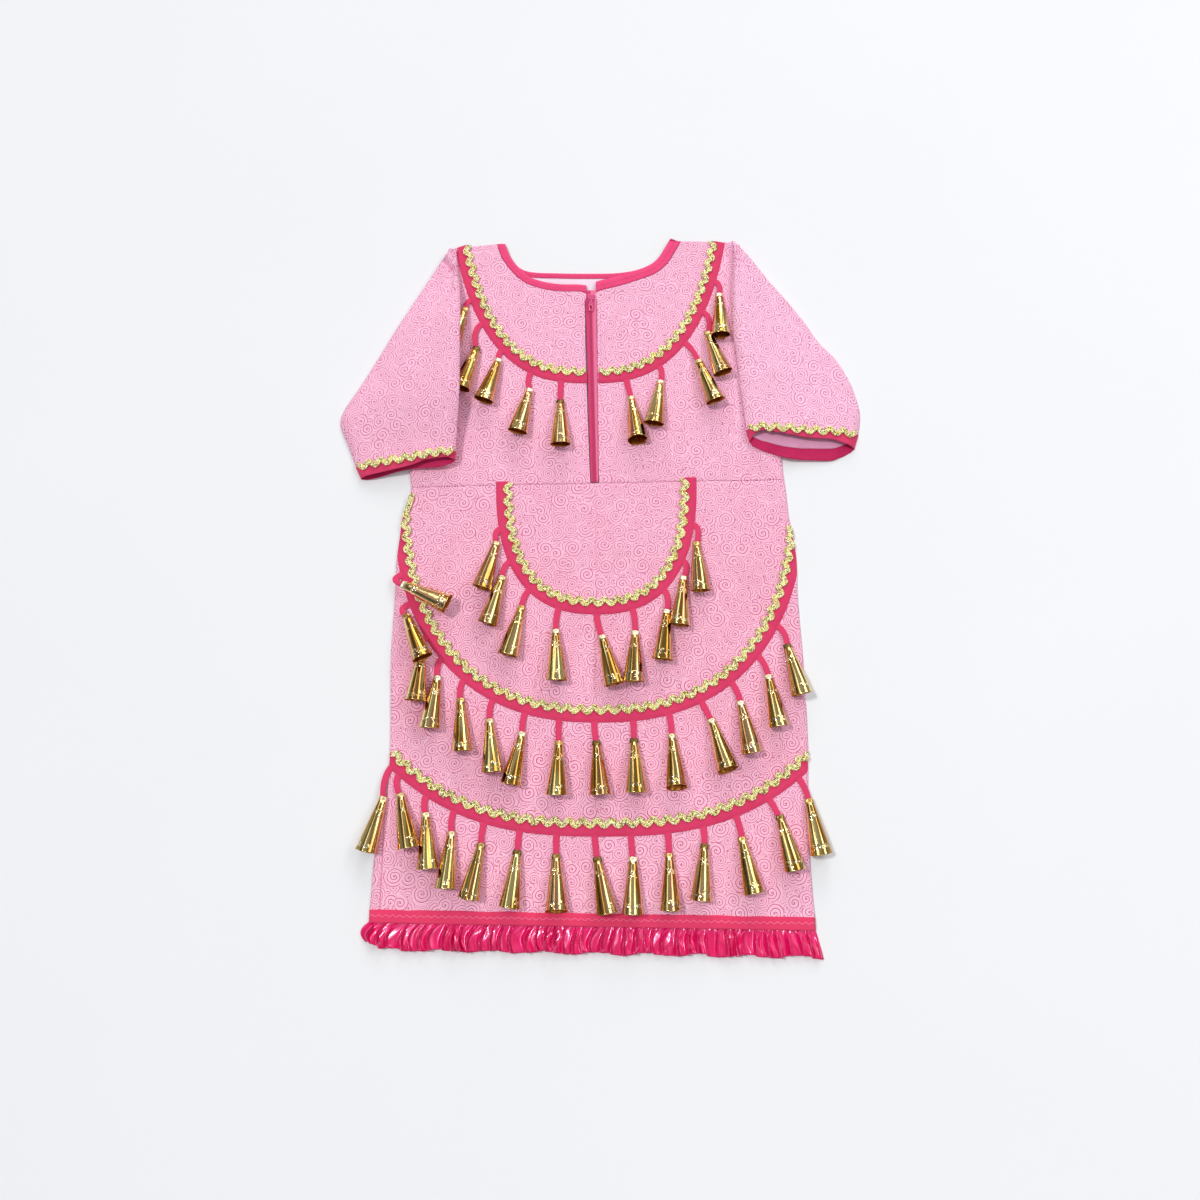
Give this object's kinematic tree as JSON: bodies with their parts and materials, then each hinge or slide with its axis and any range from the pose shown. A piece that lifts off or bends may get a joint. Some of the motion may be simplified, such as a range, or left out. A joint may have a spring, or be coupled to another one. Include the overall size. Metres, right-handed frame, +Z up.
{
  "type": "jingle dress",
  "caption": "Child's jingle dress of swirl-print cotton with bands of gold zigzag braid, rolled metal cones on tape loops and a satin ruffle, laid flat on its back.",
  "frame": {"origin": "on the surface that the dress lies on, under the centre of its box", "axes": "+X to the right of the dress as seen from above (the wearer's left), +Y from the hem to the neck, +Z up from the surface, out of the front"},
  "size_m": [0.5402, 0.7496, 0.0323],
  "materials": {
    "swirl_cotton": "matte printed cotton",
    "bias_tape": "matte woven tape",
    "hem_tape": "matte woven tape",
    "satin": "glossy satin",
    "gold_braid": "metallic thread braid",
    "brass_cone": "polished, embossed sheet",
    "zip_tape": "woven tape with a moulded coil",
    "zip_metal": "gloss enamel"
  },
  "bodies": {
    "dress": {"band_apron": "bias_tape", "band_bottom": "bias_tape", "band_mid": "bias_tape", "band_yoke_left": "bias_tape", "band_yoke_right": "bias_tape", "bodice_back": "swirl_cotton", "bodice_front_left": "swirl_cotton", "bodice_front_right": "swirl_cotton", "cuff_band_left": "bias_tape", "cuff_band_right": "bias_tape", "hem_band": "hem_tape", "hem_ruffle": "satin", "jingles_apron": "brass_cone", "jingles_bottom": "brass_cone", "jingles_mid": "brass_cone", "jingles_yoke_left": "brass_cone", "jingles_yoke_right": "brass_cone", "neck_binding": "bias_tape", "ricrac_apron": "gold_braid", "ricrac_bottom": "gold_braid", "ricrac_cuff_left": "gold_braid", "ricrac_cuff_right": "gold_braid", "ricrac_mid": "gold_braid", "ricrac_yoke_left": "gold_braid", "ricrac_yoke_right": "gold_braid", "skirt_back": "swirl_cotton", "skirt_front_left": "swirl_cotton", "skirt_front_right": "swirl_cotton", "sleeve_left": "swirl_cotton", "sleeve_right": "swirl_cotton", "zip": "zip_tape", "zip_slider": "zip_metal"},
    "pull": {"zip_pull": "zip_metal"}
  },
  "joints": [
    {"name": "pull_hinge", "type": "hinge", "parent": "dress", "child": "pull", "pos_m": [-0.01016, 0.29709, 0.00805], "axis": [-1, 0, 0], "range_deg": [0, 150]}
  ]
}
